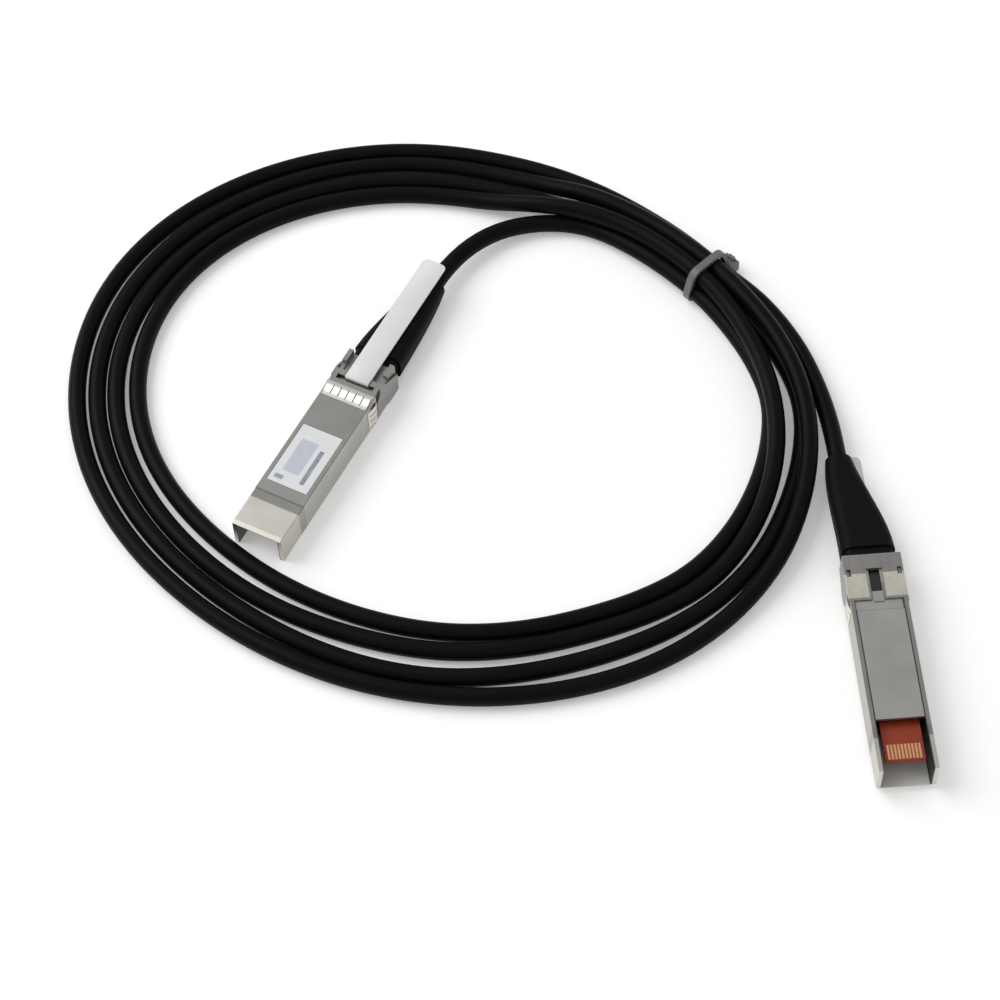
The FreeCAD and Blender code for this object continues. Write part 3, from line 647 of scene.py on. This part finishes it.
def pull_tab():
    """The short end is laid flat, and the rest of the strap is drawn out of its front edge."""
    (start, up), (front, _) = TAB_LINE[:2]
    bpy.ops.object.select_all(action="DESELECT")
    bpy.ops.mesh.primitive_plane_add(size=1.0, location=(0, (start + front) / 2, up))
    tab = bpy.context.object
    tab.scale = (TAB_WIDTH, start - front, 1)
    settle(tab)
    bpy.ops.object.mode_set(mode="EDIT")
    bpy.ops.mesh.select_mode(type="EDGE")
    for here, ahead in zip(TAB_LINE[1:], TAB_LINE[2:]):
        select_crossing(tab, here)
        draw_out((0, ahead[0] - here[0], ahead[1] - here[1]))
    select_crossing(tab, TAB_LINE[-1])
    bpy.ops.mesh.select_mode(type="VERT")
    bpy.ops.mesh.bevel(affect="VERTICES", offset=TAB_CORNER, segments=TAB_CORNER_STEPS)
    bpy.ops.mesh.select_all(action="SELECT")
    bpy.ops.mesh.normals_make_consistent(inside=False)
    bpy.ops.object.mode_set(mode="OBJECT")
    sheet = tab.modifiers.new("sheet", "SOLIDIFY")
    sheet.thickness = TAB_SHEET
    sheet.offset = 0.0
    sheet.use_even_offset = True
    edge = tab.modifiers.new("edge", "BEVEL")
    edge.width = TAB_EDGE
    edge.segments = TAB_EDGE_STEPS
    edge.limit_method = "ANGLE"
    edge.angle_limit = TAB_EDGE_ANGLE
    apply_all(tab)
    bpy.ops.object.shade_smooth_by_angle(angle=TAB_SMOOTH)
    return tab


tab_plastic = Finish("tab_plastic", Transmission_Weight=0.25, IOR=1.45)
haze = tab_plastic.noise(220.0)
tab_plastic.set(Base_Color=tab_plastic.mix(haze, (0.91, 0.91, 0.92, 1), (0.97, 0.97, 0.97, 1)),
                Roughness=0.34 + 0.15 * haze)
for end in ENDS:
    tab = pull_tab()
    tab.name = f"strap_{end}"
    lay_in_plug(tab, end)
    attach(tab, f"release_{end}")
    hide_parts(f"pull_tab_{end}")
    tab_plastic.on(tab)


# ---------------------------------------------------------------- strain relief boots
# A soft black rubber boot is moulded on the cable behind each housing. It keeps the cable from kinking,
# and its skin has the mould's fine matte texture.

rubber = Finish("boot_black", Specular_IOR_Level=0.07)
grain = rubber.noise(1400.0, 4.0)
bloom = rubber.noise(60.0)
rubber.set(Base_Color=rubber.mix(bloom, (0.003, 0.003, 0.0033, 1), (0.007, 0.007, 0.0075, 1)),
           Roughness=0.48 + 0.14 * grain,
           Normal=rubber.bump(grain, 0.2, 0.0002))
for end in ENDS:
    rubber.on(node(f"strain_relief_boot_{end}"))


# ---------------------------------------------------------------- circuit cards
# An edge card with an orange-red mask over copper tracks, gold fingers, a memory chip and four chip
# capacitors. Two foil-shielded pairs are soldered on and run back to the crimped ferrule.

TRACK_PITCH = 0.0004

for end in ENDS:
    mask = Finish(f"board_{end}", Coat_Roughness=0.12, Specular_IOR_Level=0.3)
    across, _, _ = in_plug(mask, end)
    tone = mask.noise(400.0)
    tracks = (abs((across * (1 / TRACK_PITCH)).maths("FRACT") - 0.5) * 8 - 2.2).clamped()
    lit = mask.mix(tone, (0.22, 0.022, 0.005, 1), (0.30, 0.034, 0.009, 1))
    mask.set(Base_Color=mask.mix(0.45 * tracks, lit, (0.42, 0.085, 0.035, 1)),
             Coat_Weight=0.22 * (1 - 0.3 * tone), Roughness=0.35 + 0.1 * tone)
    mask.on(node(f"circuit_card_{end}"))

gold = Finish("gold", Metallic=1.0)
wear = gold.noise(900.0)
gold.set(Base_Color=gold.mix(wear, (0.80, 0.42, 0.20, 1), (0.92, 0.56, 0.30, 1)),
         Roughness=0.2 + 0.15 * wear)
package = Finish("chip")
wear = package.noise(800.0)
package.set(Base_Color=package.mix(wear, (0.02, 0.02, 0.02, 1), (0.04, 0.04, 0.04, 1)),
            Roughness=0.5 + 0.2 * wear)
ceramic = Finish("ceramic")
wear = ceramic.noise(1200.0)
ceramic.set(Base_Color=ceramic.mix(wear, (0.40, 0.27, 0.16, 1), (0.52, 0.38, 0.25, 1)),
            Roughness=0.4 + 0.2 * wear)
foil = Finish("foil", Metallic=1.0)
creases = foil.noise(500.0, 5.0)
foil.set(Base_Color=foil.mix(creases, (0.62, 0.62, 0.63, 1), (0.80, 0.80, 0.81, 1)),
         Roughness=0.25 + 0.2 * creases,
         Normal=foil.bump(creases, 0.3, 0.0003))
brass = Finish("ferrule_metal", Metallic=1.0)
wear = brass.noise(700.0)
brass.set(Base_Color=brass.mix(wear, (0.60, 0.48, 0.25, 1), (0.74, 0.61, 0.36, 1)),
          Roughness=0.25 + 0.2 * wear)
for end in ENDS:
    gold.on(node(f"card_contacts_{end}"))
    package.on(node(f"eeprom_chip_{end}"))
    ceramic.on(node(f"coupling_capacitors_{end}"))
    foil.on(node(f"twinax_wires_{end}"))
    brass.on(node(f"crimp_ferrule_{end}"))


# ---------------------------------------------------------------- labels
# A satin paper label is stuck in the recess on top of each housing. It is blank but for plain printed
# fields in blue-grey tints.

FIELDS = [
    # across from, to; along from, to; tint
    (-0.0036, 0.0012, 0.0185, 0.0290, (0.46, 0.50, 0.58, 1)),
    (0.0022, 0.0036, 0.0165, 0.0275, (0.13, 0.15, 0.22, 1)),
    (-0.0045, -0.0020, 0.0158, 0.0172, (0.20, 0.22, 0.28, 1)),
]
PRINT_FADE = 0.0001667


def printed(value, low, high):
    """1 between two places, with a soft printed edge."""
    return value.after(low, PRINT_FADE) * value.before(high, PRINT_FADE)


for end in ENDS:
    paper = Finish(f"label_{end}")
    across, along, _ = in_plug(paper, end)
    fibre = paper.noise(500.0)
    blotch = paper.noise(700.0, 2.0)
    colour = paper.mix(fibre, (0.70, 0.71, 0.73, 1), (0.78, 0.79, 0.80, 1))
    for left, right, front, rear, tint in FIELDS:
        field = printed(across, left, right) * printed(along, front, rear)
        colour = paper.mix(field * (0.55 + 0.45 * blotch), colour, tint)
    paper.set(Base_Color=colour, Roughness=0.45 + 0.15 * fibre)
    paper.on(node(f"blank_label_{end}"))


# ---------------------------------------------------------------- floor and light
# The cable lies on a plain white table. A large soft lamp stands high on the left behind it, and the
# room is evenly white.

FLOOR_SIZE = 6.0
FLOOR_WHITE = (0.90, 0.90, 0.90, 1)
FLOOR_GLOW = 0.24
ROOM_LIGHT = 0.55
LAMP_PLACE = Vector((-1.05, 0.55, 1.2))
LAMP_SIZE = 1.3
LAMP_POWER = 17.0

bpy.ops.object.select_all(action="DESELECT")
bpy.ops.mesh.primitive_plane_add(size=FLOOR_SIZE, location=(0, 0, 0))
floor = bpy.context.object
floor.name = "floor"
ground = Finish("floor", Roughness=1.0, Specular_IOR_Level=0.0, Base_Color=FLOOR_WHITE,
                Emission_Strength=FLOOR_GLOW)
# The glow is only seen, directly or in a reflection, and lights nothing.
seen = ground.node("LightPath", output="Is Camera Ray").maths(
    "MAXIMUM", ground.node("LightPath", output="Is Glossy Ray")).maths(
    "MAXIMUM", ground.node("LightPath", output="Is Transmission Ray"))
ground.set(Emission_Color=ground.mix(seen, (0, 0, 0, 1), (1, 1, 1, 1)))
ground.on(floor)

room = bpy.data.worlds.new("room")
bpy.context.scene.world = room
room.use_nodes = True
room.node_tree.nodes["Background"].inputs["Color"].default_value = (1, 1, 1, 1)
room.node_tree.nodes["Background"].inputs["Strength"].default_value = ROOM_LIGHT

lamp_data = bpy.data.lights.new("key", "AREA")
lamp_data.shape = "SQUARE"
lamp_data.size = LAMP_SIZE
lamp_data.energy = LAMP_POWER
lamp = bpy.data.objects.new("key", lamp_data)
lamp.location = LAMP_PLACE
lamp.rotation_euler = (-LAMP_PLACE).to_track_quat("-Z", "Y").to_euler()
bpy.context.collection.objects.link(lamp)

bpy.context.scene.view_settings.view_transform = "Standard"
